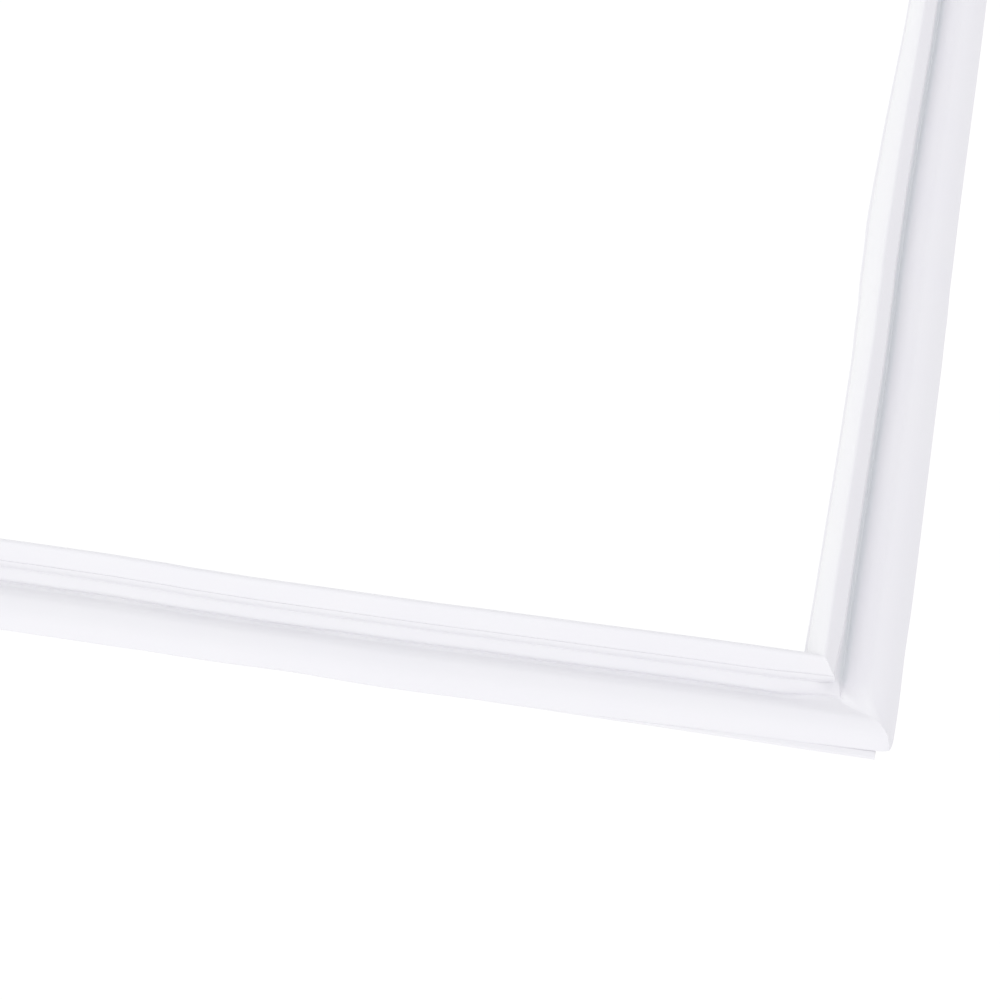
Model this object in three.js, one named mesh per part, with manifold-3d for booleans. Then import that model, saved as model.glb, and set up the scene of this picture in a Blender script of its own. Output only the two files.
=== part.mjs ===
import * as THREE from 'three'
import { mergeVertices } from 'three/addons/utils/BufferGeometryUtils.js'
import Module from 'manifold-3d'

// Refrigerator door gasket, lying on its back as it comes out of the box. Millimetres, +Z up.
// Section sizes are taken across one run: reach counts outwards from the edge of the
// opening, height counts up from the top of the flat base strip.

// The welded frame
const FRAME_WIDTH = 570
const FRAME_HEIGHT = 770
const PROFILE_WIDTH = 36

// Base strip with its two toes
const BASE_THICKNESS = 1.3
const TOE_HALF = 0.7
const TOE_FOOT_HALF = 0.4
const TOE_DEPTH = 0.9
const TOE_INSET = 1.7
const STRIP_ROUND = 0.4
const CORNER_NOTCH = 5.2

// Magnet pocket
const POCKET_REACH = 8
const POCKET_TOP = 14.6
const POCKET_LEAN = 46.5
const FACE_WIDTH = 7.7
const FACE_WALL = 0.7
const SIDE_WALL = 0.6
const WEB_WALL = 0.8
const TOP_ROUND = 1.3

// Rim between the two fine grooves
const RIM_HEIGHT = 2.6
const RIM_BOW = 0.45
const GROOVE_HALF = 0.25
const GROOVE_DEPTH = 0.3

// Magnet strips
const MAGNET_WIDTH = 5.8
const MAGNET_THICKNESS = 2
const MAGNET_PLAY = 0.25
const MAGNET_CHAMFER = 0.3
const MAGNET_CUTBACK = 3.5

// Bellows walls, drawn as curves that run a little way into what they grow from
const WALL_LAP = 0.3
const WALL_SETBACK = 0.06
const BELLOWS_WALL = 0.8
const WALL_TOP_THICKNESS = 0.64
const FOOT_REACH = 1.1
const FOOT_UPRIGHT = 5.25
const WALL_LEAD_IN = 2.9
const SHOULDER_REACH = 0.8
const SHOULDER_DROP = 0.4
const BULGE_REACH = 2.6
const BULGE_HEIGHT = 3.5

// Cover lip
const VALLEY_REACH = 15
const VALLEY_FLOOR = 1.2
const VALLEY_WIDTH = 0.9
const LIP_CREST_REACH = 24.4
const LIP_CREST_HEIGHT = 4.6
const LIP_ROOT_THICKNESS = 0.95
const LIP_EDGE_THICKNESS = 0.6
const LIP_NOSE = 0.25
const LIP_GAP = 0.2
const LIP_INSET = 0.5
const LIP_RISE_LEAD = 2.6
const LIP_RISE_HEIGHT = 1.5
const CREST_LEAD_IN = 3.6
const CREST_LEAD_OUT = 4.2
const LIP_FALL_LEAD = 3.4
const LIP_FALL_HEIGHT = 2.5

// Push-in dart
const DART_REACH = 15.5
const DART_DEPTH = 9
const STEM_HALF = 1.25
const BARB_HALF = 3.3
const BARB_DROP = 1.55
const BARB_EDGE = 0.55
const BARB_HOLLOW = 0.3
const LOWER_BARB_HALF = 2.7
const LOWER_BARB_DROP = 3.85
const TIP_HALF = 0.75
const TIP_FLAT_HALF = 0.4
const DART_CUTBACK = 14

// Small openings left at the corner welds
const PINHOLE_RADIUS = 0.6
const PINHOLE_SINK = 0.2
const SLOT_WIDTH = 2.2
const SLOT_LENGTH = 9

// How far a cutting shape stands clear of what it cuts
const CUTTER_PAST = 1

const wasm = await Module()
wasm.setup()

const lean = THREE.MathUtils.degToRad(POCKET_LEAN)
const along = new THREE.Vector2(Math.cos(lean), -Math.sin(lean))
const outwards = new THREE.Vector2(Math.sin(lean), Math.cos(lean))
const faceTop = new THREE.Vector2(POCKET_REACH, POCKET_TOP)
const channelDepth = MAGNET_THICKNESS + 2 * MAGNET_PLAY
const channelWidth = MAGNET_WIDTH + 2 * MAGNET_PLAY
const pocketDepth = FACE_WALL + channelDepth + WEB_WALL

// A point of the pocket, given along its face from the top edge and down into it.
function inPocket(alongFace, depth) {
  return faceTop.clone().addScaledVector(along, alongFace).addScaledVector(outwards, -depth)
}

const faceFoot = inPocket(FACE_WIDTH, 0)
const rimFoot = new THREE.Vector2(faceFoot.x, faceFoot.y - RIM_HEIGHT)

// Revolves a closed section about the middle in four flat steps, then pulls the square
// out to the width and height of the frame. The steps meet at true 45 degree mitres.
function mitredRing(section) {
  const loop = section.map((point) => point.clone())
  if (THREE.ShapeUtils.area(loop) < 0) {
    loop.reverse()
  }
  loop.push(loop[0].clone())
  const half = FRAME_WIDTH / 2 - PROFILE_WIDTH
  const profile = loop.map((point) => new THREE.Vector2((half + point.x) * Math.SQRT2, point.y))
  const ring = new THREE.LatheGeometry(profile, 4, Math.PI / 4)
  ring.rotateX(Math.PI / 2)
  const stretch = (FRAME_HEIGHT - FRAME_WIDTH) / 2
  const place = ring.getAttribute('position')
  for (let i = 0; i < place.count; i += 1) {
    place.setY(i, place.getY(i) + Math.sign(place.getY(i)) * stretch)
    place.setZ(i, place.getZ(i) + DART_DEPTH)
  }
  return ring
}

function solidOf(geometry) {
  const bare = geometry.clone()
  bare.deleteAttribute('normal')
  bare.deleteAttribute('uv')
  const welded = mergeVertices(bare, 1e-3)
  const mesh = new wasm.Mesh({
    numProp: 3,
    vertProperties: new Float32Array(welded.getAttribute('position').array),
    triVerts: new Uint32Array(welded.getIndex().array),
  })
  return new wasm.Manifold(mesh)
}

function geometryOf(solid) {
  const mesh = solid.getMesh()
  const geometry = new THREE.BufferGeometry()
  geometry.setAttribute('position', new THREE.BufferAttribute(new Float32Array(mesh.vertProperties), 3))
  geometry.setIndex(new THREE.BufferAttribute(new Uint32Array(mesh.triVerts), 1))
  const faceted = geometry.toNonIndexed()
  faceted.computeVertexNormals()
  return faceted
}

function ringSolid(section) {
  return solidOf(mitredRing(section))
}

// A thin wall that follows one skin line, thick on the side given, with a rounded end.
function wallSection(skin, startThickness, endThickness, side) {
  const inner = []
  const last = skin.length - 1
  for (let i = 0; i <= last; i += 1) {
    const before = skin[Math.max(i - 1, 0)]
    const after = skin[Math.min(i + 1, last)]
    const run = after.clone().sub(before).normalize()
    const thickness = THREE.MathUtils.lerp(startThickness, endThickness, i / last)
    const across = new THREE.Vector2(-run.y, run.x).multiplyScalar(side * thickness)
    inner.push(skin[i].clone().add(across))
  }
  const run = skin[last].clone().sub(skin[last - 1]).normalize()
  const middle = skin[last].clone().add(inner[last]).multiplyScalar(0.5)
  const nose = middle.clone().addScaledVector(run, LIP_NOSE)
  return [...skin, nose, ...inner.reverse()]
}

function roundedCorner(before, corner, after, radius, steps) {
  const toBefore = before.clone().sub(corner).normalize()
  const toAfter = after.clone().sub(corner).normalize()
  const from = corner.clone().addScaledVector(toBefore, radius)
  const to = corner.clone().addScaledVector(toAfter, radius)
  return new THREE.QuadraticBezierCurve(from, corner, to).getPoints(steps)
}

// Flat strip that carries the whole profile.
function baseSection() {
  const low = -BASE_THICKNESS
  const corners = [
    new THREE.Vector2(0, low),
    new THREE.Vector2(PROFILE_WIDTH, low),
    new THREE.Vector2(PROFILE_WIDTH, 0),
    new THREE.Vector2(0, 0),
  ]
  return corners.flatMap((corner, i) => {
    const before = corners[(i + 3) % 4]
    const after = corners[(i + 1) % 4]
    return roundedCorner(before, corner, after, STRIP_ROUND, 2)
  })
}

// Flat-footed rib under the base that presses on the door liner.
function toeSection(reach) {
  const foot = -BASE_THICKNESS - TOE_DEPTH
  const shoulder = foot + TOE_HALF - TOE_FOOT_HALF
  return [
    new THREE.Vector2(reach + TOE_HALF, -BASE_THICKNESS / 2),
    new THREE.Vector2(reach - TOE_HALF, -BASE_THICKNESS / 2),
    new THREE.Vector2(reach - TOE_HALF, shoulder),
    new THREE.Vector2(reach - TOE_FOOT_HALF, foot),
    new THREE.Vector2(reach + TOE_FOOT_HALF, foot),
    new THREE.Vector2(reach + TOE_HALF, shoulder),
  ]
}

// Outside of the magnet pocket: soft top edge, sealing face and the rim along its foot.
function pocketSection() {
  const topSide = inPocket(0, pocketDepth)
  const face = inPocket(FACE_WIDTH / 2, 0)
  const bowed = new THREE.Vector2(faceFoot.x + RIM_BOW, (faceFoot.y + rimFoot.y) / 2)
  const rim = new THREE.QuadraticBezierCurve(faceFoot, bowed, rimFoot)
  return [
    ...roundedCorner(topSide, faceTop, face, TOP_ROUND, 6),
    ...rim.getPoints(5),
    inPocket(FACE_WIDTH - BELLOWS_WALL, pocketDepth),
    topSide,
  ]
}

// V-shaped cutter for a fine groove whose mouth lies on the skin.
function grooveSection(mouth, into) {
  const inwards = into.clone().normalize()
  const side = new THREE.Vector2(-inwards.y, inwards.x)
  const outer = mouth.clone().addScaledVector(inwards, -GROOVE_DEPTH)
  return [
    outer.clone().addScaledVector(side, 2 * GROOVE_HALF),
    outer.clone().addScaledVector(side, -2 * GROOVE_HALF),
    mouth.clone().addScaledVector(inwards, GROOVE_DEPTH),
  ]
}

function channelSection() {
  const top = SIDE_WALL
  const end = SIDE_WALL + channelWidth
  return [
    inPocket(top, FACE_WALL),
    inPocket(end, FACE_WALL),
    inPocket(end, FACE_WALL + channelDepth),
    inPocket(top, FACE_WALL + channelDepth),
  ]
}

// Bellows wall on the side of the opening, from the base up to the pocket.
function innerWallSection() {
  const foot = new THREE.Vector2(FOOT_REACH, -BASE_THICKNESS / 2)
  const top = inPocket(WALL_SETBACK, pocketDepth - WALL_LAP)
  const upright = foot.clone().add(new THREE.Vector2(0, FOOT_UPRIGHT))
  const lead = top.clone().addScaledVector(outwards, -WALL_LEAD_IN)
  const skin = new THREE.CubicBezierCurve(foot, upright, lead, top).getPoints(14)
  return wallSection(skin, BELLOWS_WALL, WALL_TOP_THICKNESS, -1)
}

// Folded outer wall of the bellows, bulging out under the rim.
function bulgeSection() {
  const top = new THREE.Vector2(rimFoot.x - WALL_LAP, rimFoot.y + 2 * WALL_LAP)
  const shoulder = new THREE.Vector2(faceFoot.x + SHOULDER_REACH, rimFoot.y - SHOULDER_DROP)
  const belly = new THREE.Vector2(faceFoot.x + BULGE_REACH, BULGE_HEIGHT)
  const crease = new THREE.Vector2(VALLEY_REACH, VALLEY_FLOOR)
  const foot = new THREE.Vector2(VALLEY_REACH, -BASE_THICKNESS / 2)
  const skin = new THREE.CubicBezierCurve(top, shoulder, belly, crease).getPoints(16)
  return wallSection([...skin, foot], BELLOWS_WALL, BELLOWS_WALL, -1)
}

// Broad cover lip: rises from the valley, rounds over and comes down to the outer edge.
function lipSection() {
  const root = new THREE.Vector2(VALLEY_REACH + VALLEY_WIDTH, VALLEY_FLOOR)
  const crest = new THREE.Vector2(LIP_CREST_REACH, LIP_CREST_HEIGHT)
  const edge = new THREE.Vector2(PROFILE_WIDTH - LIP_INSET, LIP_GAP + LIP_EDGE_THICKNESS)
  const beforeCrest = new THREE.Vector2(LIP_CREST_REACH - CREST_LEAD_IN, LIP_CREST_HEIGHT)
  const afterCrest = new THREE.Vector2(LIP_CREST_REACH + CREST_LEAD_OUT, LIP_CREST_HEIGHT)
  const outOfValley = new THREE.Vector2(VALLEY_REACH + LIP_RISE_LEAD, LIP_RISE_HEIGHT)
  const downToEdge = new THREE.Vector2(PROFILE_WIDTH - LIP_FALL_LEAD, LIP_FALL_HEIGHT)
  const climb = new THREE.CubicBezierCurve(root, outOfValley, beforeCrest, crest)
  const descent = new THREE.CubicBezierCurve(crest, afterCrest, downToEdge, edge)
  const skin = [...climb.getPoints(10), ...descent.getPoints(12).slice(1)]
  return wallSection(skin, LIP_ROOT_THICKNESS, LIP_EDGE_THICKNESS, -1)
}

// Web of solid material where the bulge, the lip and the base run together.
function valleySection() {
  const root = -BASE_THICKNESS / 2
  const start = VALLEY_REACH - BELLOWS_WALL / 2
  const end = VALLEY_REACH + VALLEY_WIDTH
  return [
    new THREE.Vector2(start, root),
    new THREE.Vector2(end + LIP_ROOT_THICKNESS, root),
    new THREE.Vector2(end + LIP_ROOT_THICKNESS / 2, VALLEY_FLOOR - LIP_ROOT_THICKNESS / 2),
    new THREE.Vector2(end, VALLEY_FLOOR),
    new THREE.Vector2(start, VALLEY_FLOOR),
  ]
}

// Arrow section pushed into the retaining channel of the door: two pairs of barbs.
function dartSection() {
  const barb = -BASE_THICKNESS - BARB_DROP
  const lowerBarb = -BASE_THICKNESS - LOWER_BARB_DROP
  const half = [
    [STEM_HALF, -BASE_THICKNESS / 2],
    [STEM_HALF, barb - BARB_HOLLOW],
    [BARB_HALF, barb],
    [BARB_HALF, barb - BARB_EDGE],
    [STEM_HALF, lowerBarb - BARB_HOLLOW],
    [LOWER_BARB_HALF, lowerBarb],
    [LOWER_BARB_HALF, lowerBarb - BARB_EDGE],
    [TIP_HALF, TIP_FLAT_HALF - DART_DEPTH],
    [TIP_FLAT_HALF, -DART_DEPTH],
  ]
  const right = half.map(([reach, height]) => new THREE.Vector2(DART_REACH + reach, height))
  const left = half.map(([reach, height]) => new THREE.Vector2(DART_REACH - reach, height)).reverse()
  return [...right, ...left]
}

// Calls make(sideX, sideY) for each of the four corners.
function atCorners(make) {
  return [[-1, -1], [-1, 1], [1, -1], [1, 1]].map(([sideX, sideY]) => make(sideX, sideY))
}

// Moves a geometry to the spot of a corner's mitre with the reach and height given.
function movedToMitre(geometry, sideX, sideY, reach, height) {
  const inset = PROFILE_WIDTH - reach
  const across = sideX * (FRAME_WIDTH / 2 - inset)
  const upright = sideY * (FRAME_HEIGHT / 2 - inset)
  geometry.translate(across, upright, DART_DEPTH + height)
  return solidOf(geometry)
}

// A block at each corner, sides of the block square to the frame.
function cornerBlocks(fromReach, toReach, low, high) {
  const size = toReach - fromReach
  return atCorners((sideX, sideY) => {
    const block = new THREE.BoxGeometry(size, size, high - low)
    return movedToMitre(block, sideX, sideY, (fromReach + toReach) / 2, (low + high) / 2)
  })
}

// A round hole at each corner, standing upright in the mitre.
function cornerHoles(reach, low, high) {
  return atCorners((sideX, sideY) => {
    const hole = new THREE.CylinderGeometry(PINHOLE_RADIUS, PINHOLE_RADIUS, high - low, 10)
    hole.rotateX(Math.PI / 2)
    return movedToMitre(hole, sideX, sideY, reach, (low + high) / 2)
  })
}

// Slot through the web of the pocket beside each corner, where the magnet strip was slid in.
function feedSlots() {
  const spot = inPocket(SIDE_WALL + channelWidth / 2, pocketDepth - WEB_WALL / 2)
  const inset = PROFILE_WIDTH - spot.x
  const fromMiddle = FRAME_WIDTH / 2 - inset - MAGNET_CUTBACK - SLOT_LENGTH / 2
  return atCorners((sideX, sideY) => {
    const slot = new THREE.BoxGeometry(SLOT_LENGTH, SLOT_WIDTH, WEB_WALL + 2 * MAGNET_PLAY)
    slot.rotateX(sideY * lean)
    slot.translate(sideX * fromMiddle, sideY * (FRAME_HEIGHT / 2 - inset), DART_DEPTH + spot.y)
    return solidOf(slot)
  })
}

function cutAll(solid, cutters) {
  return cutters.reduce((left, cutter) => left.subtract(cutter), solid)
}

function profileSolid() {
  const beyond = PROFILE_WIDTH + CUTTER_PAST
  const belowTip = -DART_DEPTH - CUTTER_PAST
  const dartEnds = cornerBlocks(DART_REACH - DART_CUTBACK, beyond, belowTip, -BASE_THICKNESS)
  const dart = cutAll(ringSolid(dartSection()), dartEnds)
  const belowToe = -BASE_THICKNESS - TOE_DEPTH - CUTTER_PAST
  const notches = cornerBlocks(PROFILE_WIDTH - CORNER_NOTCH, beyond, belowToe, LIP_GAP / 2)
  const flat = ringSolid(baseSection())
    .add(ringSolid(toeSection(TOE_INSET)))
    .add(ringSolid(toeSection(PROFILE_WIDTH - TOE_INSET)))
  const upper = ringSolid(pocketSection())
    .add(ringSolid(innerWallSection()))
    .add(ringSolid(bulgeSection()))
    .add(ringSolid(valleySection()))
    .add(ringSolid(lipSection()))
  const grooveAboveRim = ringSolid(grooveSection(faceFoot, outwards.clone().negate()))
  const grooveBelowRim = ringSolid(grooveSection(rimFoot, new THREE.Vector2(-1, 0)))
  const channel = ringSolid(channelSection())
  const pinholes = cornerHoles(VALLEY_REACH - BELLOWS_WALL, -PINHOLE_SINK, rimFoot.y)
  const whole = cutAll(flat, notches).add(dart).add(upper)
  return cutAll(whole, [channel, grooveAboveRim, grooveBelowRim, ...pinholes, ...feedSlots()])
}

// One straight magnet strip lying in the channel, chamfered along its edges.
function magnetStrip(length) {
  const width = MAGNET_WIDTH / 2
  const thick = MAGNET_THICKNESS / 2
  const cut = MAGNET_CHAMFER
  const shape = new THREE.Shape([
    new THREE.Vector2(-width + cut, -thick),
    new THREE.Vector2(width - cut, -thick),
    new THREE.Vector2(width, -thick + cut),
    new THREE.Vector2(width, thick - cut),
    new THREE.Vector2(width - cut, thick),
    new THREE.Vector2(-width + cut, thick),
    new THREE.Vector2(-width, thick - cut),
    new THREE.Vector2(-width, -thick + cut),
  ])
  const strip = new THREE.ExtrudeGeometry(shape, { depth: length, bevelEnabled: false, steps: 1 })
  strip.translate(0, 0, -length / 2)
  strip.rotateZ(-lean)
  strip.rotateX(Math.PI / 2)
  return strip
}

// Turned so that the section's reach points away from the middle of the frame.
function placedMagnet(turn, halfAcross, length) {
  const middle = inPocket(SIDE_WALL + channelWidth / 2, FACE_WALL + channelDepth / 2)
  const strip = magnetStrip(length)
  strip.translate(halfAcross - PROFILE_WIDTH + middle.x, 0, DART_DEPTH + middle.y)
  strip.rotateZ(turn)
  return strip
}

const vinyl = new THREE.MeshStandardMaterial({ color: 0xf0eff3, roughness: 0.48, metalness: 0 })
const ferrite = new THREE.MeshStandardMaterial({ color: 0x35302d, roughness: 0.72, metalness: 0 })

function named(name, geometry, material) {
  const mesh = new THREE.Mesh(geometry, material.clone())
  mesh.name = name
  return mesh
}

function buildGasket() {
  const gasket = new THREE.Group()
  gasket.name = 'refrigerator_door_gasket'
  gasket.add(named('gasket_profile', geometryOf(profileSolid()), vinyl))
  const channelStart = inPocket(SIDE_WALL, FACE_WALL + channelDepth).x
  const shortening = 2 * (PROFILE_WIDTH - channelStart + MAGNET_CUTBACK)
  const across = FRAME_WIDTH - shortening
  const upright = FRAME_HEIGHT - shortening
  gasket.add(named('magnet_strip_right', placedMagnet(0, FRAME_WIDTH / 2, upright), ferrite))
  gasket.add(named('magnet_strip_top', placedMagnet(Math.PI / 2, FRAME_HEIGHT / 2, across), ferrite))
  gasket.add(named('magnet_strip_left', placedMagnet(Math.PI, FRAME_WIDTH / 2, upright), ferrite))
  gasket.add(named('magnet_strip_bottom', placedMagnet(-Math.PI / 2, FRAME_HEIGHT / 2, across), ferrite))
  return gasket
}

export default buildGasket()
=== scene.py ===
import math

import bmesh
import bpy
from mathutils import Matrix, Vector, noise


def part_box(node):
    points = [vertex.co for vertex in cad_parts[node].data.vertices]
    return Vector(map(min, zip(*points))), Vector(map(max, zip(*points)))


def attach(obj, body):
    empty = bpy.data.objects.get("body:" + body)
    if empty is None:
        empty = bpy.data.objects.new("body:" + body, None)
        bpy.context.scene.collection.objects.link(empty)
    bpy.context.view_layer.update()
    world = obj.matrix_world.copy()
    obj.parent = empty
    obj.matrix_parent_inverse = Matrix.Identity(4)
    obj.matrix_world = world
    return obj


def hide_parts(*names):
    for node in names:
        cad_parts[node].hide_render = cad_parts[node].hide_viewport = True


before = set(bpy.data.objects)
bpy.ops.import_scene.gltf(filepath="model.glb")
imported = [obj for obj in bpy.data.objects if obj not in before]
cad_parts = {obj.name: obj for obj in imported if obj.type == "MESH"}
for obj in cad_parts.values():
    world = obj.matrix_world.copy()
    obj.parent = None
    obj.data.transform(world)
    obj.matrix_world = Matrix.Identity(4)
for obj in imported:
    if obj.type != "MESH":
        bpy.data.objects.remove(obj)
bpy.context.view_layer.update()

# The gasket's sizes in millimetres. Reach counts outwards from the edge of the opening,
# height counts up from the top of the flat base strip.
PROFILE_WIDTH = 36.0
BASE_THICKNESS = 1.3
EDGE_ROUND = 0.4
TOE_INSET = 1.7
TOE_HALF = 0.7
TOE_FOOT_HALF = 0.4
TOE_DEPTH = 0.9
CORNER_NOTCH = 5.8
POCKET_REACH = 8.0
POCKET_TOP = 14.6
POCKET_LEAN = math.radians(46.5)
POCKET_DEPTH = 4.0
FACE_WIDTH = 7.7
FACE_WALL = 0.7
SIDE_WALL = 0.6
CHANNEL_WIDTH = 6.3
CHANNEL_DEPTH = 2.5
CHANNEL_STEP = 12.0
MAGNET_PLAY = 0.25
MAGNET_ROUND = 0.25
TOP_ROUND = 1.5
RIM_HEIGHT = 2.6
GROOVE_WIDTH = 0.34
GROOVE_DEPTH = 0.40
LOWER_GROOVE_DEPTH = 0.06
RIM_BOW = 0.35
BELLOWS_WALL = 0.8
FOOT_REACH = 1.1
BULGE_REACH = 2.1
BULGE_HEIGHT = 3.7
VALLEY_REACH = 15.0
VALLEY_FLOOR = 1.2
LIP_CREST_REACH = 25.0
LIP_CREST_HEIGHT = 4.6
LIP_RISE_LEAD = 2.6
LIP_RISE_HEIGHT = 1.5
LIP_FALL_LEAD = 3.4
LIP_FALL_HEIGHT = 2.5
LIP_GAP = -0.5
LIP_ROOT_THICKNESS = 0.95
LIP_EDGE_THICKNESS = 0.6
DART_REACH = 15.5
DART_DEPTH = 9.0
DART_CUTBACK = 14.0
STEM_HALF = 1.25
BARB_HALF = 3.3
TIP_HALF = 0.75

# How far the soft vinyl strays from its die, in millimetres
LIP_WAVE = 0.30
POCKET_SWAY = 0.22
BULGE_RIPPLE = 0.20
CORNER_RUN = 60.0
STRIP_DROOP = 0.9
DROOP_AT_CORNER = 0.5
STRIP_PROUD_RUN = 170.0
LIP_DRAW_RUN = 110.0
WELD_FILL_FROM = 3.5
WELD_FILL_SPREAD = 2.6
WELD_SKEW_RUN = 7.0
PUCKER = 0.22
PUCKER_RUN = 16.0
WELD_RIDGE = 0.09
WELD_PINCH = 2.8
WELD_PINCH_RUN = 4.5
TIP_ROUND = 1.0
TIP_ROUND_RUN = 1.5
UNDERCUT_RUN = 5.0
POCKET_PINCH = 1.1
POCKET_PINCH_RUN = 30.0
# Painted shade in the valley: where it starts and where it is full, in millimetres from the weld,
# and how far it climbs the bulge and the lip
VALLEY_SHADE_STARTS = 5.0
VALLEY_SHADE_FULL = 11.0
VALLEY_SHADE_CLIMB = 4.0
VALLEY_SHADE_LIP = 2.4
SETTLE_RUN = 24.0
RIDGE_WIDTH = 0.35

# Wavelengths of the strays along a run, in millimetres
SLOW_LIP_WAVE = 62
QUICK_LIP_WAVE = 21
PUCKER_WAVE = 9
SWAY_WAVE = 95
NOD_WAVE = 140
SLOW_RIPPLE = 26
QUICK_RIPPLE = 11

# Colours of the finishes
VINYL_WHITE = (0.842, 0.840, 0.850)
VINYL_LILAC = (0.822, 0.817, 0.846)
# Bluish grey painted shade for the valley under the pocket
VALLEY_PAINTED_SHADE = (0.790, 0.808, 0.824)
FERRITE_BROWN = (0.038, 0.033, 0.030)
FERRITE_GREY = (0.060, 0.056, 0.054)

# The studio's lights
ROOM_LIGHT = 0.95
ROOM_TINT = (0.974, 0.970, 1.0)
FLOOR_GLOW = 0.98
FRONT_LIGHT = 0.46
FRONT_TINT = (1.0, 0.98, 1.0)
FRONT_LIGHT_FROM = (-0.36, -0.68, 0.63)
LEFT_LIGHT = 0.27
LEFT_TINT = (0.86, 1.0, 0.70)
LEFT_LIGHT_FROM = (-0.95, -0.05, 0.32)

# The camera, with its places in millimetres
CAMERA_LENS = 86.4
CAMERA_AT = (279.0, -890.1, 691.9)
CAMERA_AIM = (126.1, -292.2, 9.9)
CAMERA_ROLL = -3.26

MM = 0.001
low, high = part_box("gasket_profile")
HALF_WIDTH = (high[0] - low[0]) / 2 / MM
HALF_HEIGHT = (high[1] - low[1]) / 2 / MM


# Flat drawing of the section


def at(reach, height):
    return Vector((reach, height))


ALONG_FACE = at(math.cos(POCKET_LEAN), -math.sin(POCKET_LEAN))
OFF_FACE = at(math.sin(POCKET_LEAN), math.cos(POCKET_LEAN))


def in_pocket(along_face, depth):
    """A point of the pocket, along its face from the top edge and down into it."""
    return at(POCKET_REACH, POCKET_TOP) + ALONG_FACE * along_face - OFF_FACE * depth


def bezier(a, b, c, d, steps):
    points = []
    for i in range(steps + 1):
        t = i / steps
        s = 1 - t
        points.append(a * s**3 + b * 3 * s * s * t + c * 3 * s * t * t + d * t**3)
    return points


def rounded(before, corner, after, radius, steps=4):
    """The points of a rounded corner between two straight edges."""
    start = corner + (before - corner).normalized() * radius
    end = corner + (after - corner).normalized() * radius
    points = []
    for i in range(steps + 1):
        t = i / steps
        points.append(start * (1 - t) ** 2 + corner * 2 * t * (1 - t) + end * t * t)
    return points


FACE_FOOT = in_pocket(FACE_WIDTH, 0)
RIM_FOOT = at(FACE_FOOT.x, FACE_FOOT.y - RIM_HEIGHT)


def lip_skin():
    """Top of the cover lip, from the valley over the crest to its outer edge."""
    root = at(VALLEY_REACH + 0.9, VALLEY_FLOOR + 0.12)
    crest = at(LIP_CREST_REACH, LIP_CREST_HEIGHT)
    edge = at(PROFILE_WIDTH - 0.15, LIP_GAP + LIP_EDGE_THICKNESS + 0.1)
    before_crest = at(crest.x - (crest.x - root.x) * 0.34, crest.y - 1.05)
    after_crest = at(crest.x + (edge.x - crest.x) * 0.48, crest.y)
    out_of_valley = at(VALLEY_REACH + LIP_RISE_LEAD, LIP_RISE_HEIGHT)
    down_to_edge = at(PROFILE_WIDTH - LIP_FALL_LEAD, LIP_FALL_HEIGHT)
    climb = bezier(root, out_of_valley, before_crest, crest, 9)
    descent = bezier(crest, after_crest, down_to_edge, edge, 12)
    return climb + descent[1:]


def underside(skin, start_thickness, end_thickness):
    """The other side of a thin wall that follows the skin line."""
    points = []
    last = len(skin) - 1
    for i, point in enumerate(skin):
        run = (skin[min(i + 1, last)] - skin[max(i - 1, 0)]).normalized()
        thickness = start_thickness + (end_thickness - start_thickness) * i / last
        points.append(point + at(run.y, -run.x) * thickness)
    return points


def inner_wall_skin():
    foot = at(FOOT_REACH, 0.25)
    top = in_pocket(0.0, POCKET_DEPTH - 0.5)
    steady = foot + at(0, POCKET_TOP * 0.36)
    lead = top - OFF_FACE * POCKET_TOP * 0.2
    return bezier(foot, steady, lead, top, 14)


def bulge_skin():
    top = RIM_FOOT + at(0.12, -GROOVE_WIDTH)
    shoulder = at(FACE_FOOT.x + BULGE_REACH * 0.55, RIM_FOOT.y - 0.5)
    belly = at(FACE_FOOT.x + BULGE_REACH + 0.5, BULGE_HEIGHT * 0.95)
    foot = at(VALLEY_REACH + 0.1, VALLEY_FLOOR + 0.25)
    return bezier(top, shoulder, belly, foot, 15)


def groove(before, after, into):
    """A fine drawn groove across the line between two points of the skin."""
    floor = (before + after) / 2 + into
    return [before, before.lerp(floor, 0.75), after.lerp(floor, 0.75), after]


def rim_skin():
    """The thin rim along the foot of the sealing face, with a fine groove on each side."""
    face_end = in_pocket(FACE_WIDTH - GROOVE_WIDTH, 0)
    rim_top = FACE_FOOT + at(0.0, -0.08)
    upper = groove(face_end, rim_top, at(-0.9, -0.45) * GROOVE_DEPTH)
    bow = []
    for f in (0.2, 0.4, 0.6, 0.8):
        bow.append(rim_top.lerp(RIM_FOOT, f) + at(RIM_BOW * math.sin(math.pi * f), 0))
    lower = groove(RIM_FOOT, RIM_FOOT + at(0.12, -GROOVE_WIDTH), at(-LOWER_GROOVE_DEPTH, 0))
    return upper + bow + lower[:-1]


def toe(reach):
    """The foot of a toe, drawn from its outer side to its inner side."""
    foot = -BASE_THICKNESS - TOE_DEPTH
    shoulder = foot + TOE_HALF - TOE_FOOT_HALF
    return [
        at(reach + TOE_HALF, -BASE_THICKNESS),
        at(reach + TOE_HALF, shoulder),
        at(reach + TOE_FOOT_HALF, foot),
        at(reach - TOE_FOOT_HALF, foot),
        at(reach - TOE_HALF, shoulder),
        at(reach - TOE_HALF, -BASE_THICKNESS),
    ]


class Skin:
    """An outline of the section whose points know which soft part they belong to."""

    def __init__(self):
        self.points = []

    def add(self, points, part="base"):
        for point in points:
            self.points.append((point, part))
        return self


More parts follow.
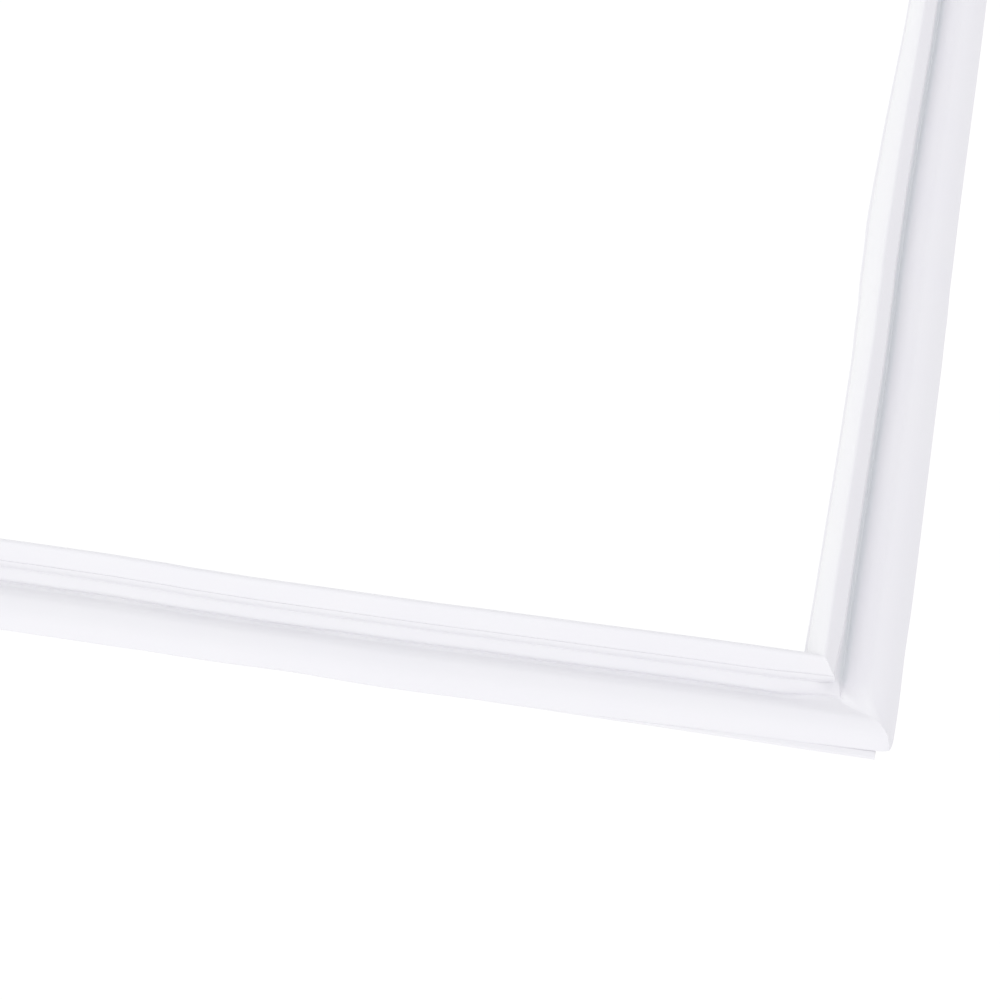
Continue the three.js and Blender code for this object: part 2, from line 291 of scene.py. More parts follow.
def outer_skin():
    skin = Skin()
    low_edge = -BASE_THICKNESS
    inner_edge = at(0, 0)
    skin.add(rounded(at(0, low_edge), inner_edge, at(FOOT_REACH, 0), EDGE_ROUND))
    skin.add([at(FOOT_REACH - 0.25, 0)], "wall")
    skin.add(inner_wall_skin(), "wall")
    side = in_pocket(0, POCKET_DEPTH)
    face = in_pocket(FACE_WIDTH / 2, 0)
    skin.add(rounded(side, in_pocket(0, 0), face, TOP_ROUND, 5), "pocket")
    skin.add([in_pocket(FACE_WIDTH * f, 0) for f in (0.4, 0.6, 0.8)], "pocket")
    skin.add(rim_skin(), "pocket")
    skin.add(bulge_skin(), "bulge")
    skin.add([at(VALLEY_REACH + f, VALLEY_FLOOR) for f in (0.25, 0.55)], "valley")
    lip = lip_skin()
    skin.add(lip, "lip")
    under = underside(lip, LIP_ROOT_THICKNESS, LIP_EDGE_THICKNESS)
    nose_run = (lip[-1] - lip[-2]).normalized()
    nose = (lip[-1] + under[-1]) / 2
    top_of_nose = lip[-1] + nose_run * 0.14
    foot_of_nose = under[-1] + nose_run * 0.14
    skin.add([top_of_nose, nose + nose_run * 0.26, foot_of_nose], "lip")
    beneath = [point for point in reversed(under) if point.x > VALLEY_REACH + 2.2]
    skin.add(beneath, "lip")
    skin.add([at(beneath[-1].x - 0.5, 0)], "base")
    flange = PROFILE_WIDTH - CORNER_NOTCH
    skin.add([at(flange, 0)], "base")
    top_edge = at(PROFILE_WIDTH, 0)
    foot_edge = at(PROFILE_WIDTH, low_edge)
    outer_top = rounded(at(flange, 0), top_edge, foot_edge, EDGE_ROUND)
    outer_low = rounded(top_edge, foot_edge, at(flange, low_edge), EDGE_ROUND)
    skin.add(outer_top + outer_low, "flange")
    skin.add(toe(PROFILE_WIDTH - TOE_INSET), "flange")
    skin.add([at(flange, low_edge)], "base")
    skin.add([at(PROFILE_WIDTH / 2, low_edge)], "base")
    skin.add(toe(TOE_INSET), "base")
    inner_low = rounded(at(TOE_INSET, low_edge), at(0, low_edge), at(0, 0), EDGE_ROUND)
    skin.add(inner_low, "base")
    return skin


def bellows_hollow():
    """The air space under the magnet pocket."""
    wall = underside(inner_wall_skin(), BELLOWS_WALL, BELLOWS_WALL)
    bulge = underside(bulge_skin(), BELLOWS_WALL, BELLOWS_WALL)
    skin = Skin()
    skin.add([at(FOOT_REACH + BELLOWS_WALL, 0)], "wall")
    skin.add([p for p in wall if 0.3 < p.y < in_pocket(0, POCKET_DEPTH).y - 0.6], "wall")
    skin.add([in_pocket(0.9, POCKET_DEPTH), in_pocket(FACE_WIDTH - 0.8, POCKET_DEPTH)], "pocket")
    skin.add([p for p in bulge if 0.3 < p.y < RIM_FOOT.y - 0.9], "bulge")
    skin.add([at(VALLEY_REACH - BELLOWS_WALL, 0)], "bulge")
    return skin


def magnet_channel():
    skin = Skin()
    end = SIDE_WALL + CHANNEL_WIDTH
    floor = FACE_WALL + CHANNEL_DEPTH
    skin.add([in_pocket(SIDE_WALL, FACE_WALL), in_pocket(end, FACE_WALL)], "pocket")
    skin.add([in_pocket(end, floor), in_pocket(SIDE_WALL, floor)], "pocket")
    return skin


def magnet_outline():
    """The magnet strip's section, with a little play all round in its channel."""
    first = SIDE_WALL + MAGNET_PLAY
    last = SIDE_WALL + CHANNEL_WIDTH - MAGNET_PLAY
    top = FACE_WALL + MAGNET_PLAY
    foot = FACE_WALL + CHANNEL_DEPTH - MAGNET_PLAY
    corners = [in_pocket(first, top), in_pocket(last, top)]
    corners += [in_pocket(last, foot), in_pocket(first, foot)]
    points = []
    for i, corner in enumerate(corners):
        points += rounded(corners[i - 1], corner, corners[(i + 1) % 4], MAGNET_ROUND, 1)
    return points


def dart_outline():
    """Arrow section with two pairs of barbs, drawn down the outer side and up the inner."""
    length = DART_DEPTH - BASE_THICKNESS
    half = [
        (STEM_HALF, -BASE_THICKNESS + 0.3),
        (STEM_HALF, -BASE_THICKNESS - length * 0.22),
        (STEM_HALF + 0.25, -BASE_THICKNESS - length * 0.24),
        (BARB_HALF - 0.1, -BASE_THICKNESS - length * 0.2),
        (BARB_HALF, -BASE_THICKNESS - length * 0.215),
        (BARB_HALF, -BASE_THICKNESS - length * 0.27),
        (STEM_HALF + 0.1, -BASE_THICKNESS - length * 0.525),
        (STEM_HALF + 0.15, -BASE_THICKNESS - length * 0.535),
        (BARB_HALF * 0.8, -BASE_THICKNESS - length * 0.5),
        (BARB_HALF * 0.82, -BASE_THICKNESS - length * 0.515),
        (BARB_HALF * 0.82, -BASE_THICKNESS - length * 0.57),
        (TIP_HALF, -DART_DEPTH + TIP_HALF * 0.5),
        (TIP_HALF * 0.5, -DART_DEPTH),
    ]
    outer = [at(DART_REACH + reach, height) for reach, height in half]
    inner = [at(DART_REACH - reach, height) for reach, height in reversed(half)]
    return outer + inner


# Carrying the section round the door


def smooth(value):
    value = min(max(value, 0.0), 1.0)
    return value * value * (3 - 2 * value)


class Run:
    """One straight run of the frame, walked anticlockwise as seen from the front."""

    def __init__(self, name, along, out, half_length, half_across, slack, bends):
        self.name = name
        self.slack = slack
        self.bends = bends
        self.along = Vector(along)
        self.out = Vector(out)
        self.half_length = half_length
        self.half_across = half_across
        self.seed = Vector((7.3 * out[0] + 3.1, 5.9 * out[1] + 1.7, 0.4))

    def end_of(self, reach):
        return self.half_length - PROFILE_WIDTH + reach

    def eased(self, knots, distance):
        """A slow change along the run, eased between the listed places and nil at both ends."""
        before = (-self.half_length, 0.0)
        for after in knots + [(self.half_length, 0.0)]:
            if distance <= after[0]:
                share = smooth((distance - before[0]) / (after[0] - before[0]))
                return before[1] + (after[1] - before[1]) * share
            before = after
        return 0.0

    def place(self, distance, reach, height):
        reach += self.eased(self.bends, distance)
        flat = self.along * distance + self.out * (self.half_across - PROFILE_WIDTH + reach)
        return Vector((flat.x, flat.y, height + DART_DEPTH)) * MM


# How far each run bows outwards, and how far its lip flares, at places along it
NEAR_BENDS = [(-180, 0.0), (-45, -0.75), (-13, -0.7), (8, -0.27), (27, 0.36), (50, 0.75)]
NEAR_BENDS += [(115, 0.75), (140, 0.4), (165, 0.25), (215, -0.1)]
SIDE_BENDS = [(-360, 0.4), (-318, 0.1), (-243, 0.2), (-196, 0.4), (-165, 0.0), (-140, -0.6)]
SIDE_BENDS += [(-106, -0.75), (40, 0.4), (200, -0.3)]
FAR_BENDS = [(-90, 0.4), (110, -0.5)]
LEFT_BENDS = [(-140, -0.5), (150, 0.6)]
# Sideways wander of the weld in millimetres, at shares of the way across the lip
WELD_PATH = [(0.12, -0.7), (0.24, 0.6), (0.36, 2.4), (0.55, 3.6)]
WELD_PATH += [(0.75, 2.9), (0.9, 1.3), (1.0, 0.0)]
NEAR_FLARE = [(-180, 1.2), (-13, 1.5), (27, 0.7), (65, 0.0)]
NEAR_FLARE += [(103, 0.85), (140, 0.6), (177, 0.5), (245, 0.15)]
SIDE_FOOT = [(-345, 0.1), (-318, 0.5), (-243, 0.5), (-200, 0.1), (-165, -0.4)]
SIDE_FOOT += [(-145, -0.8), (-130, -1.1), (-106, -1.7), (-60, -1.4), (60, 0.0)]
SIDE_FLARE = [(-345, -0.1), (-318, 0.4), (-243, 0.2), (-205, 0.0), (-120, 0.5), (60, -0.3)]

# How the soft parts of each run have settled: the foot of the lip is gathered outwards, the
# bulge swells, the valley lifts, the lip's climb rises, the lip draws back and the strip
# stands proud beside the welds, the strip is tucked in elsewhere, the rim leans out, the
# valley fills up at the weld, the weld wanders and painted shade darkens the valley. The
# flare and the foot are the outwards shifts of the lip and of the inner edge along the run.
SLACK_NEAR = {
    "gather": 2.1, "swell": 0.0, "valley": 0.5, "rise": 0.0, "draw": 1.45, "proud": 1.5,
    "tuck": 0.5, "rim": 0.7, "fill": 0.0, "skew": 0.0, "valley_shade": 0.0, "flare": NEAR_FLARE, "foot": [],
}
SLACK_RIGHT = {
    "gather": -0.45, "swell": -1.2, "valley": -0.9, "rise": 0.7, "draw": 0.2, "proud": 0.0,
    "tuck": 0.6, "rim": -0.3, "fill": 1.5, "skew": 1.0, "valley_shade": 1.0, "flare": SIDE_FLARE,
    "foot": SIDE_FOOT,
}
SLACK_TOP = {
    "gather": 0.8, "swell": 0.0, "valley": 0.1, "rise": 0.1, "draw": 0.8, "proud": 0.9,
    "tuck": 0.3, "rim": 0.2, "fill": 0.3, "skew": 0.0, "valley_shade": 0.4, "flare": [], "foot": [],
}
SLACK_LEFT = {
    "gather": -0.3, "swell": -0.3, "valley": -0.2, "rise": 0.3, "draw": 0.4, "proud": 0.3,
    "tuck": 0.3, "rim": 0.0, "fill": 0.5, "skew": 0.3, "valley_shade": 0.6, "flare": [], "foot": [],
}
RUNS = [
    Run("bottom", (1, 0), (0, -1), HALF_WIDTH, HALF_HEIGHT, SLACK_NEAR, NEAR_BENDS),
    Run("right", (0, 1), (1, 0), HALF_HEIGHT, HALF_WIDTH, SLACK_RIGHT, SIDE_BENDS),
    Run("top", (-1, 0), (0, 1), HALF_WIDTH, HALF_HEIGHT, SLACK_TOP, FAR_BENDS),
    Run("left", (0, -1), (-1, 0), HALF_HEIGHT, HALF_WIDTH, SLACK_LEFT, LEFT_BENDS),
]


def wander(run, distance, wavelength, channel):
    """A slow seeded wave along a run, between about -1 and 1."""
    spot = run.seed + Vector((distance / wavelength, channel * 11.7, channel * 3.3))
    return noise.noise(spot) * 1.8


def weld_skew(reach):
    """How far the weld wanders sideways off its mitre across the lip."""
    across = (reach - VALLEY_REACH) / (PROFILE_WIDTH - VALLEY_REACH)
    before = (0.0, 0.0)
    for after in WELD_PATH:
        if across <= after[0]:
            share = smooth((across - before[0]) / (after[0] - before[0]))
            return before[1] + (after[1] - before[1]) * share
        before = after
    return 0.0


def strayed(run, distance, from_mitre, point, part):
    """Where a point of the soft section really lies, this far from the corner weld."""
    reach, height = point
    slack = run.slack
    settle = smooth(from_mitre / SETTLE_RUN)
    settle_fast = smooth(from_mitre / UNDERCUT_RUN)
    near = smooth(1 - from_mitre / CORNER_RUN)
    gathered = slack["gather"] * (settle if slack["gather"] > 0 else settle_fast)
    nose = 1 - math.sqrt(1 - max(1 - from_mitre / WELD_PINCH_RUN, 0.0) ** 2)
    proud = smooth(1 - from_mitre / STRIP_PROUD_RUN)
    drawn = smooth(1 - from_mitre / LIP_DRAW_RUN)
    fill = math.exp(-(((from_mitre - WELD_FILL_FROM) / WELD_FILL_SPREAD) ** 2)) * slack["fill"]
    droop = STRIP_DROOP + DROOP_AT_CORNER * proud
    pinch = POCKET_PINCH * smooth(1 - from_mitre / POCKET_PINCH_RUN)
    if part in ("base", "flange", "lip"):
        outer = max((reach - DART_REACH) / (PROFILE_WIDTH - DART_REACH), 0.0)
        reach += outer * run.eased(slack["flare"], distance)
    if part in ("base", "flange", "wall"):
        foot = max(1 - reach / POCKET_REACH, 0.0) * (1 - max(height, 0.0) / POCKET_TOP)
        reach += foot * run.eased(slack["foot"], distance)
    if part in ("base", "flange"):
        outer = max((reach - DART_REACH) / (PROFILE_WIDTH - DART_REACH), 0.0)
        height -= droop * outer ** 2
        reach += (slack["proud"] * proud - slack["tuck"]) * outer ** 4
    if part in ("lip", "valley"):
        out = max((reach - VALLEY_REACH) / (PROFILE_WIDTH - VALLEY_REACH), 0.0)
        free = out ** 2
        root = smooth(1 - out / 0.4)
        floor = smooth(1 - out / 0.1)
        pucker = math.sin(math.pi * min(out * 1.25, 1.0)) * math.exp(-from_mitre / PUCKER_RUN)
        height += free * settle * LIP_WAVE * wander(run, distance, SLOW_LIP_WAVE, 1)
        height += free * settle * LIP_WAVE * 0.35 * wander(run, distance, QUICK_LIP_WAVE, 2)
        crease = wander(run, distance + reach * 3, PUCKER_WAVE, 7)
        height += pucker * smooth(from_mitre / 3) * PUCKER * crease
        height -= out ** 6 * droop * (1 - near * 0.6)
        height += floor * slack["valley"] * settle_fast + root * fill
        rise = math.sin(math.pi * smooth(min(max(out - 0.03, 0.0) / 0.42, 1.0)))
        height += slack["rise"] * settle * rise
        reach += gathered * root
        reach += slack["skew"] * weld_skew(reach) * math.exp(-from_mitre / WELD_SKEW_RUN)
        rounding = out ** 4 * TIP_ROUND * math.exp(-from_mitre / TIP_ROUND_RUN)
        reach -= free * drawn * slack["draw"] + rounding
    if part in ("pocket", "wall"):
        tall = max(height, 0.0) / POCKET_TOP
        reach += tall * settle * POCKET_SWAY * wander(run, distance, SWAY_WAVE, 3)
        height += tall * settle * POCKET_SWAY * 0.4 * wander(run, distance, NOD_WAVE, 4)
        if height < FACE_FOOT.y and reach > FACE_FOOT.x - 1:
            reach += slack["rim"] * settle_fast * (FACE_FOOT.y - height) / RIM_HEIGHT
        if part == "pocket" and reach > POCKET_REACH:
            reach -= pinch * smooth((POCKET_TOP - height) / (POCKET_TOP - FACE_FOOT.y))
    if part == "bulge":
        tall = min(max(height - VALLEY_FLOOR, 0.0) / (RIM_FOOT.y - VALLEY_FLOOR), 1.0)
        sway = tall * settle * POCKET_SWAY * wander(run, distance, SWAY_WAVE, 3)
        reach += sway * RIM_FOOT.y / POCKET_TOP
        belly = math.sin(math.pi * tall) ** 0.7 if 0 < tall < 1 else 0.0
        low_half = smooth((1 - tall) / 0.75)
        ripple = wander(run, distance, SLOW_RIPPLE, 5)
        ripple += 0.5 * wander(run, distance, QUICK_RIPPLE, 6)
        reach += belly * settle * BULGE_RIPPLE * ripple
        reach += gathered * low_half + settle_fast * (slack["swell"] * belly + slack["rim"] * tall)
        reach -= nose * WELD_PINCH * smooth(tall / 0.5) + pinch * smooth(tall / 0.9)
        height += (1 - tall) * (slack["valley"] * settle_fast + fill)
    return reach, height


def painted_valley_shade_at(run, from_mitre, point, part):
    """How much painted shade darkens a point: only in the valley, and none beside the welds."""
    in_valley = 0.0
    if part == "valley":
        in_valley = 1.0
    elif part == "bulge":
        in_valley = smooth(1 - (point.y - VALLEY_FLOOR) / VALLEY_SHADE_CLIMB)
    elif part == "lip" and point.y > VALLEY_FLOOR:
        in_valley = smooth(1 - (point.x - VALLEY_REACH - 0.9) / VALLEY_SHADE_LIP)
    clear = smooth((from_mitre - VALLEY_SHADE_STARTS) / (VALLEY_SHADE_FULL - VALLEY_SHADE_STARTS))
    return in_valley * clear * run.slack["valley_shade"]


def notched(run, spot, at_mitre):
    """Cuts the outer strip of the base back to a square notch at each corner."""
    stop_x = (HALF_WIDTH - CORNER_NOTCH) * MM
    stop_y = (HALF_HEIGHT - CORNER_NOTCH) * MM
    slack = 1e-7
    if abs(spot.x) < stop_x - slack or abs(spot.y) < stop_y - slack:
        return spot
    if at_mitre or run.along.x:
        spot.x = math.copysign(stop_x, spot.x)
    if at_mitre or run.along.y:
        spot.y = math.copysign(stop_y, spot.y)
    return spot


def stations(run, step):
    """Shares of a run's half length, close together beside the welds."""
    near = [0.0, 0.25, 0.6, 1.2, 2.2, 3.6, 5.4, 7.5, 10.0, 13.0, 16.5, 20.5, 25.0]
    count = round((run.half_length - near[-1]) / step)
    far = [near[-1] + (run.half_length - near[-1]) * (i + 1) / count for i in range(count)]
    first = [-(1 - d / run.half_length) for d in near + far]
    second = [-s for s in reversed(first[:-1])]
    return first + second


def section_normals(points):
    normals = []
    count = len(points)
    for i in range(count):
        edge = points[(i + 1) % count] - points[i - 1]
        normals.append(at(-edge.y, edge.x).normalized() if edge.length > 1e-6 else at(0, 0))
    return normals


def signed_area(points):
    total = 0.0
    for i, point in enumerate(points):
        after = points[(i + 1) % len(points)]
        total += point.x * after.y - after.x * point.y
    return total / 2


def sweep(mesh, uv_layer, skin, step, faces_out=True, ridge=0.0):
    """Sweeps a closed outline round all four runs, with a shared ring at each mitre."""
    valley_shade_layer = mesh.verts.layers.float["valley_shade"]
    points = [point for point, part in skin.points]
    parts = [part for point, part in skin.points]
    normals = section_normals(points)
    around = [0.0]
    for i in range(len(points)):
        around.append(around[-1] + (points[(i + 1) % len(points)] - points[i]).length * MM)
    rings = []
    for index, run in enumerate(RUNS):
        at_ends = {}
        for side, neighbour in ((-1, RUNS[index - 1]), (1, RUNS[(index + 1) % len(RUNS)])):
            there = -side * neighbour.half_length
            at_ends[side] = [strayed(neighbour, there, 0, p, part)[0] for p, part in skin.points]
        for share in stations(run, step)[:-1]:
            from_mitre = (1 - abs(share)) * run.half_length
            at_mitre = from_mitre < 1e-6
            raised = ridge * math.exp(-((from_mitre / RIDGE_WIDTH) ** 2))
            ring = []
            end_reaches = at_ends[-1 if share < 0 else 1]
            for point, part, normal, end_reach in zip(points, parts, normals, end_reaches):
                distance = run.end_of(point.x) * share
                reach, height = strayed(run, distance, from_mitre, point, part)
                reach += normal.x * raised
                height += normal.y * raised
                distance = run.end_of(end_reach + normal.x * raised) * share
                spot = run.place(distance, reach, height)
                if part == "flange":
                    spot = notched(run, spot, at_mitre)
                ring.append(mesh.verts.new(spot))
                # Each vertex stores how much painted shade darkens it in the valley
                ring[-1][valley_shade_layer] = painted_valley_shade_at(run, from_mitre, point, part)
            rings.append((ring, run, share * run.half_length * MM))
    flip = (signed_area(points) > 0) == faces_out
    for k, (ring, run, along) in enumerate(rings):
        after, after_run, after_along = rings[(k + 1) % len(rings)]
        if after_run is not run:
            after_along = run.half_length * MM
        for i in range(len(points)):
            j = (i + 1) % len(points)
            corners = [ring[i], ring[j], after[j], after[i]]
            places = [(along, around[i]), (along, around[i + 1])]
            places += [(after_along, around[i + 1]), (after_along, around[i])]
            if flip:
                corners.reverse()
                places.reverse()
            face = mesh.faces.new(corners)
            face.smooth = True
            for loop, place in zip(face.loops, places):
                loop[uv_layer].uv = place


def close_bar(mesh, uv_layer, outline, rings):
    """Joins the rings of a bar along its sides and closes both ends."""
    clockwise = signed_area(outline) < 0
    for ring, after in zip(rings, rings[1:]):
        for i in range(len(outline)):
            j = (i + 1) % len(outline)
            corners = [ring[i], ring[j], after[j], after[i]]
            if not clockwise:
                corners.reverse()
            face = mesh.faces.new(corners)
            face.smooth = True
            for loop in face.loops:
                loop[uv_layer].uv = (loop.vert.co.xy.length, loop.vert.co.z)
    for end in (list(reversed(rings[0])), rings[-1][:]):
        if not clockwise:
            end.reverse()
        mesh.faces.new(end)


def add_dart(mesh, uv_layer, run, step):
    """The dart of one run: a closed bar, cut off square before the corner."""
    outline = dart_outline()
    half = run.end_of(DART_REACH) - DART_CUTBACK
    count = max(round(2 * half / step), 2)
    rings = []
    for k in range(count + 1):
        distance = -half + 2 * half * k / count
        rings.append([mesh.verts.new(run.place(distance, p.x, p.y)) for p in outline])
    close_bar(mesh, uv_layer, outline, rings)


def make_magnet(run):
    """The magnet strip of one run, lying loose in its channel and bent along with it."""
    mesh = bmesh.new()
    uv_layer = mesh.loops.layers.uv.new("run")
    low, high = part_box("magnet_strip_" + run.name)
    half = (high[0] - low[0] if run.along.x else high[1] - low[1]) / 2 / MM
    inner = [share * run.half_length for share in stations(run, CHANNEL_STEP)]
    outline = magnet_outline()
    rings = []
    for distance in [-half] + [d for d in inner if abs(d) < half - 1] + [half]:
        ring = []
        for point in outline:
            from_mitre = run.half_length * (1 - abs(distance) / run.end_of(point.x))
            reach, height = strayed(run, distance, from_mitre, point, "pocket")
            ring.append(mesh.verts.new(run.place(distance, reach, height)))
        rings.append(ring)
    close_bar(mesh, uv_layer, outline, rings)
    return object_from("magnet_" + run.name, mesh, 38)


def object_from(name, mesh, sharp_angle):
    data = bpy.data.meshes.new(name)
    mesh.normal_update()
    mesh.to_mesh(data)
    mesh.free()
    data.set_sharp_from_angle(angle=math.radians(sharp_angle))
    piece = bpy.data.objects.new(name, data)
    bpy.context.scene.collection.objects.link(piece)
    return piece


def make_vinyl_frame():
    mesh = bmesh.new()
    uv_layer = mesh.loops.layers.uv.new("run")
    mesh.verts.layers.float.new("valley_shade")
    sweep(mesh, uv_layer, outer_skin(), 6.0, True, WELD_RIDGE)
    sweep(mesh, uv_layer, bellows_hollow(), 12.0, False)
    sweep(mesh, uv_layer, magnet_channel(), CHANNEL_STEP, False)
    for run in RUNS:
        add_dart(mesh, uv_layer, run, 20.0)
    bmesh.ops.dissolve_degenerate(mesh, dist=1e-7, edges=mesh.edges[:])
    return object_from("vinyl_gasket", mesh, 38)


# Finishes


def group_socket(group, name, direction, kind, default=None):
    socket = group.interface.new_socket(name=name, in_out=direction, socket_type=kind)
    if default is not None:
        socket.default_value = default
    return socket


def node(tree, kind, **settings):
    made = tree.nodes.new(kind)
    for name, value in settings.items():
        setattr(made, name, value)
    return made


def fine_mottle_group():
    """Slow shading of a colour and a fine grain height, for moulded plastics."""
    group = bpy.data.node_groups.new("fine_mottle", "ShaderNodeTree")
    group_socket(group, "Vector", "INPUT", "NodeSocketVector")
    group_socket(group, "Colour", "INPUT", "NodeSocketColor", (0.8, 0.8, 0.8, 1))
    group_socket(group, "Second Colour", "INPUT", "NodeSocketColor", (0.7, 0.7, 0.7, 1))
    group_socket(group, "Patch Scale", "INPUT", "NodeSocketFloat", 40.0)
    group_socket(group, "Grain Scale", "INPUT", "NodeSocketFloat", 2500.0)
    group_socket(group, "Colour", "OUTPUT", "NodeSocketColor")
    group_socket(group, "Grain", "OUTPUT", "NodeSocketFloat")
    group_socket(group, "Patches", "OUTPUT", "NodeSocketFloat")
    inputs = node(group, "NodeGroupInput")
    outputs = node(group, "NodeGroupOutput")
    patches = node(group, "ShaderNodeTexNoise")
    patches.inputs["Detail"].default_value = 3
    grain = node(group, "ShaderNodeTexNoise")
    grain.inputs["Detail"].default_value = 2
    blend = node(group, "ShaderNodeMix", data_type="RGBA")
    link = group.links.new
    link(inputs.outputs["Vector"], patches.inputs["Vector"])
    link(inputs.outputs["Patch Scale"], patches.inputs["Scale"])
    link(inputs.outputs["Vector"], grain.inputs["Vector"])
    link(inputs.outputs["Grain Scale"], grain.inputs["Scale"])
    link(patches.outputs["Fac"], blend.inputs["Factor"])
    link(inputs.outputs["Colour"], blend.inputs["A"])
    link(inputs.outputs["Second Colour"], blend.inputs["B"])
    link(blend.outputs["Result"], outputs.inputs["Colour"])
    link(grain.outputs["Fac"], outputs.inputs["Grain"])
    link(patches.outputs["Fac"], outputs.inputs["Patches"])
    return group


def add_mottle(tree, mottle, vector, colour, second, patch_scale, grain_scale):
    made = node(tree, "ShaderNodeGroup", node_tree=mottle)
    made.inputs["Colour"].default_value = (*colour, 1)
    made.inputs["Second Colour"].default_value = (*second, 1)
    made.inputs["Patch Scale"].default_value = patch_scale
    made.inputs["Grain Scale"].default_value = grain_scale
    tree.links.new(vector, made.inputs["Vector"])
    return made


def white_vinyl(mottle):
    """Soft white PVC with faint lilac patches, fine drawing lines along each run and painted shade
    in the valley.
    """
    material = bpy.data.materials.new("white_vinyl")
    material.use_nodes = True
    tree = material.node_tree
    link = tree.links.new
    shader = tree.nodes["Principled BSDF"]
    shader.inputs["IOR"].default_value = 1.5
    shader.inputs["Subsurface Weight"].default_value = 0.0
    where = node(tree, "ShaderNodeTexCoord")
    spot = where.outputs["Object"]
    speck = add_mottle(tree, mottle, spot, VINYL_WHITE, VINYL_LILAC, 34.0, 2200.0)
    # Painted shade: the valley's colour is mixed towards a bluish grey by the stored amount
    valley_shade = node(tree, "ShaderNodeAttribute", attribute_name="valley_shade")
    valley_shaded = node(tree, "ShaderNodeMix", data_type="RGBA")
    valley_shaded.inputs["B"].default_value = (*VALLEY_PAINTED_SHADE, 1)
    link(valley_shade.outputs["Fac"], valley_shaded.inputs["Factor"])
    link(speck.outputs["Colour"], valley_shaded.inputs["A"])
    link(valley_shaded.outputs["Result"], shader.inputs["Base Color"])
    stretch = node(tree, "ShaderNodeMapping")
    stretch.inputs["Scale"].default_value = (3.0, 2600.0, 1.0)
    link(where.outputs["UV"], stretch.inputs["Vector"])
    lines = node(tree, "ShaderNodeTexNoise")
    lines.inputs["Scale"].default_value = 1.0
    lines.inputs["Detail"].default_value = 2
    link(stretch.outputs["Vector"], lines.inputs["Vector"])
    relief = node(tree, "ShaderNodeMath", operation="MULTIPLY_ADD")
    relief.inputs[1].default_value = 0.35
    link(speck.outputs["Grain"], relief.inputs[0])
    link(lines.outputs["Fac"], relief.inputs[2])
    bump = node(tree, "ShaderNodeBump")
    bump.inputs["Strength"].default_value = 0.10
    bump.inputs["Distance"].default_value = 0.0002
    link(relief.outputs["Value"], bump.inputs["Height"])
    link(bump.outputs["Normal"], shader.inputs["Normal"])
    gloss = node(tree, "ShaderNodeMapRange")
    gloss.inputs["To Min"].default_value = 0.42
    gloss.inputs["To Max"].default_value = 0.56
    link(speck.outputs["Patches"], gloss.inputs["Value"])
    link(gloss.outputs["Result"], shader.inputs["Roughness"])
    return material


def magnet_rubber(mottle):
    """Dark ferrite powder bound in rubber, slightly gritty."""
    material = bpy.data.materials.new("magnet_rubber")
    material.use_nodes = True
    tree = material.node_tree
    link = tree.links.new
    shader = tree.nodes["Principled BSDF"]
    where = node(tree, "ShaderNodeTexCoord")
    spot = where.outputs["Object"]
    speck = add_mottle(tree, mottle, spot, FERRITE_BROWN, FERRITE_GREY, 180.0, 5200.0)
    link(speck.outputs["Colour"], shader.inputs["Base Color"])
    bump = node(tree, "ShaderNodeBump")
    bump.inputs["Strength"].default_value = 0.35
    bump.inputs["Distance"].default_value = 0.0001
    link(speck.outputs["Grain"], bump.inputs["Height"])
    link(bump.outputs["Normal"], shader.inputs["Normal"])
    gloss = node(tree, "ShaderNodeMapRange")
    gloss.inputs["To Min"].default_value = 0.62
    gloss.inputs["To Max"].default_value = 0.8
    link(speck.outputs["Patches"], gloss.inputs["Value"])
    link(gloss.outputs["Result"], shader.inputs["Roughness"])
    return material


# Studio


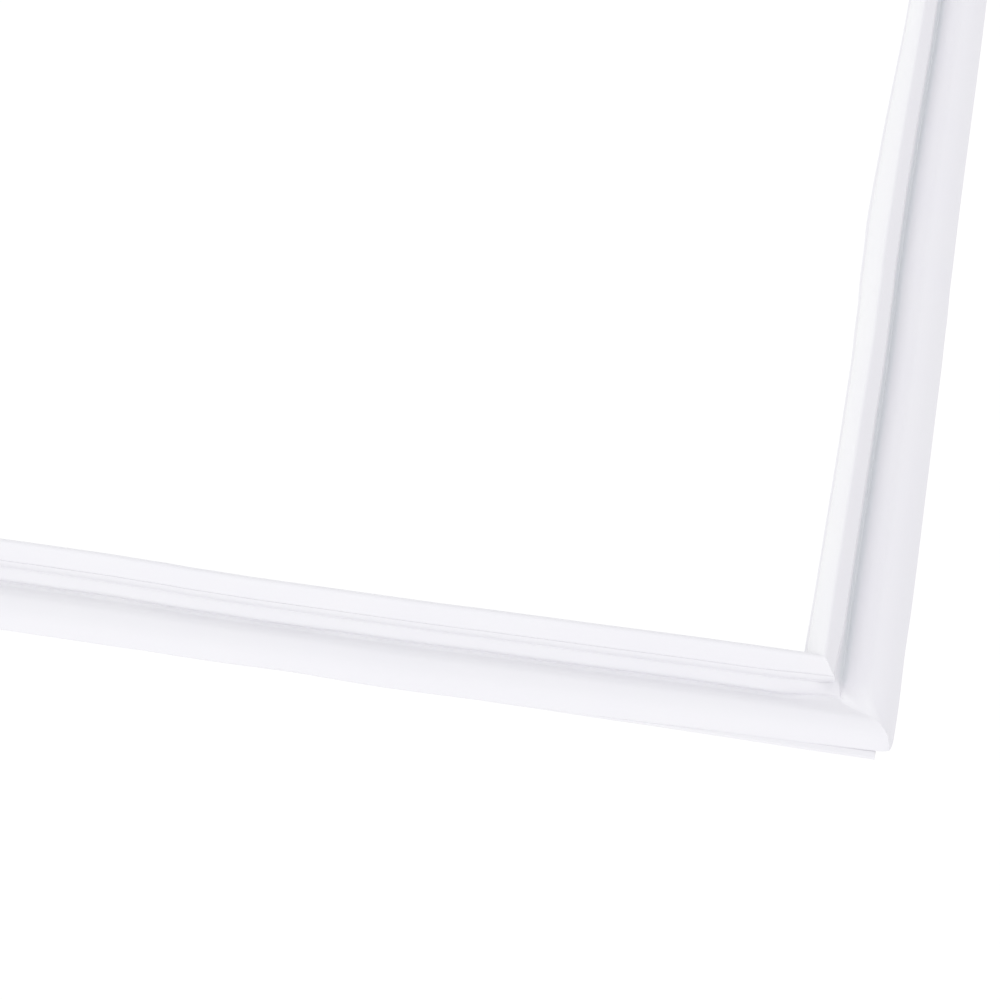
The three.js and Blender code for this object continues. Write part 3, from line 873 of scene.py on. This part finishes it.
def make_floor():
    mesh = bmesh.new()
    bmesh.ops.create_grid(mesh, x_segments=2, y_segments=2, size=6.0)
    floor = object_from("floor", mesh, 30)
    material = bpy.data.materials.new("pale_floor")
    material.use_nodes = True
    shader = material.node_tree.nodes["Principled BSDF"]
    shader.inputs["Base Color"].default_value = (0.05, 0.05, 0.05, 1)
    shader.inputs["Roughness"].default_value = 0.9
    shader.inputs["Specular IOR Level"].default_value = 0.0
    shader.inputs["Emission Color"].default_value = (1, 1, 1, 1)
    shader.inputs["Emission Strength"].default_value = FLOOR_GLOW
    floor.data.materials.append(material)


def make_lights():
    world = bpy.data.worlds.new("studio")
    world.use_nodes = True
    sky = world.node_tree.nodes["Background"]
    sky.inputs["Color"].default_value = (*ROOM_TINT, 1)
    sky.inputs["Strength"].default_value = ROOM_LIGHT
    bpy.context.scene.world = world
    add_sun("front_window", FRONT_LIGHT, FRONT_TINT, FRONT_LIGHT_FROM)
    add_sun("left_wall", LEFT_LIGHT, LEFT_TINT, LEFT_LIGHT_FROM)


def add_sun(name, strength, tint, towards):
    """A broad soft light from far off in the direction given."""
    lamp = bpy.data.lights.new(name, "SUN")
    lamp.energy = strength
    lamp.angle = math.radians(40)
    lamp.color = tint
    sun = bpy.data.objects.new(name, lamp)
    sun.rotation_euler = Vector(towards).to_track_quat("Z", "Y").to_euler()
    bpy.context.scene.collection.objects.link(sun)


def make_camera():
    """Stands in front of the near right corner and looks down at it, rolled a little."""
    data = bpy.data.cameras.new("camera")
    data.lens = CAMERA_LENS
    data.sensor_width = 36
    data.sensor_fit = "HORIZONTAL"
    data.clip_end = 20
    camera = bpy.data.objects.new("camera", data)
    eye = Vector(CAMERA_AT) * MM
    aim = Vector(CAMERA_AIM) * MM
    look = (aim - eye).to_track_quat("-Z", "Y").to_matrix()
    roll = Matrix.Rotation(math.radians(CAMERA_ROLL), 3, "Z")
    camera.matrix_world = Matrix.Translation(eye) @ (look @ roll).to_4x4()
    bpy.context.scene.collection.objects.link(camera)
    bpy.context.scene.camera = camera


def main():
    make_camera()
    make_lights()
    make_floor()
    gasket = make_vinyl_frame()
    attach(gasket, "root")
    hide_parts("gasket_profile")
    mottle = fine_mottle_group()
    gasket.data.materials.append(white_vinyl(mottle))
    ferrite = magnet_rubber(mottle)
    for run in RUNS:
        magnet = make_magnet(run)
        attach(magnet, "root")
        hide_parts("magnet_strip_" + run.name)
        magnet.data.materials.append(ferrite)
    bpy.context.scene.view_settings.view_transform = "Standard"


main()
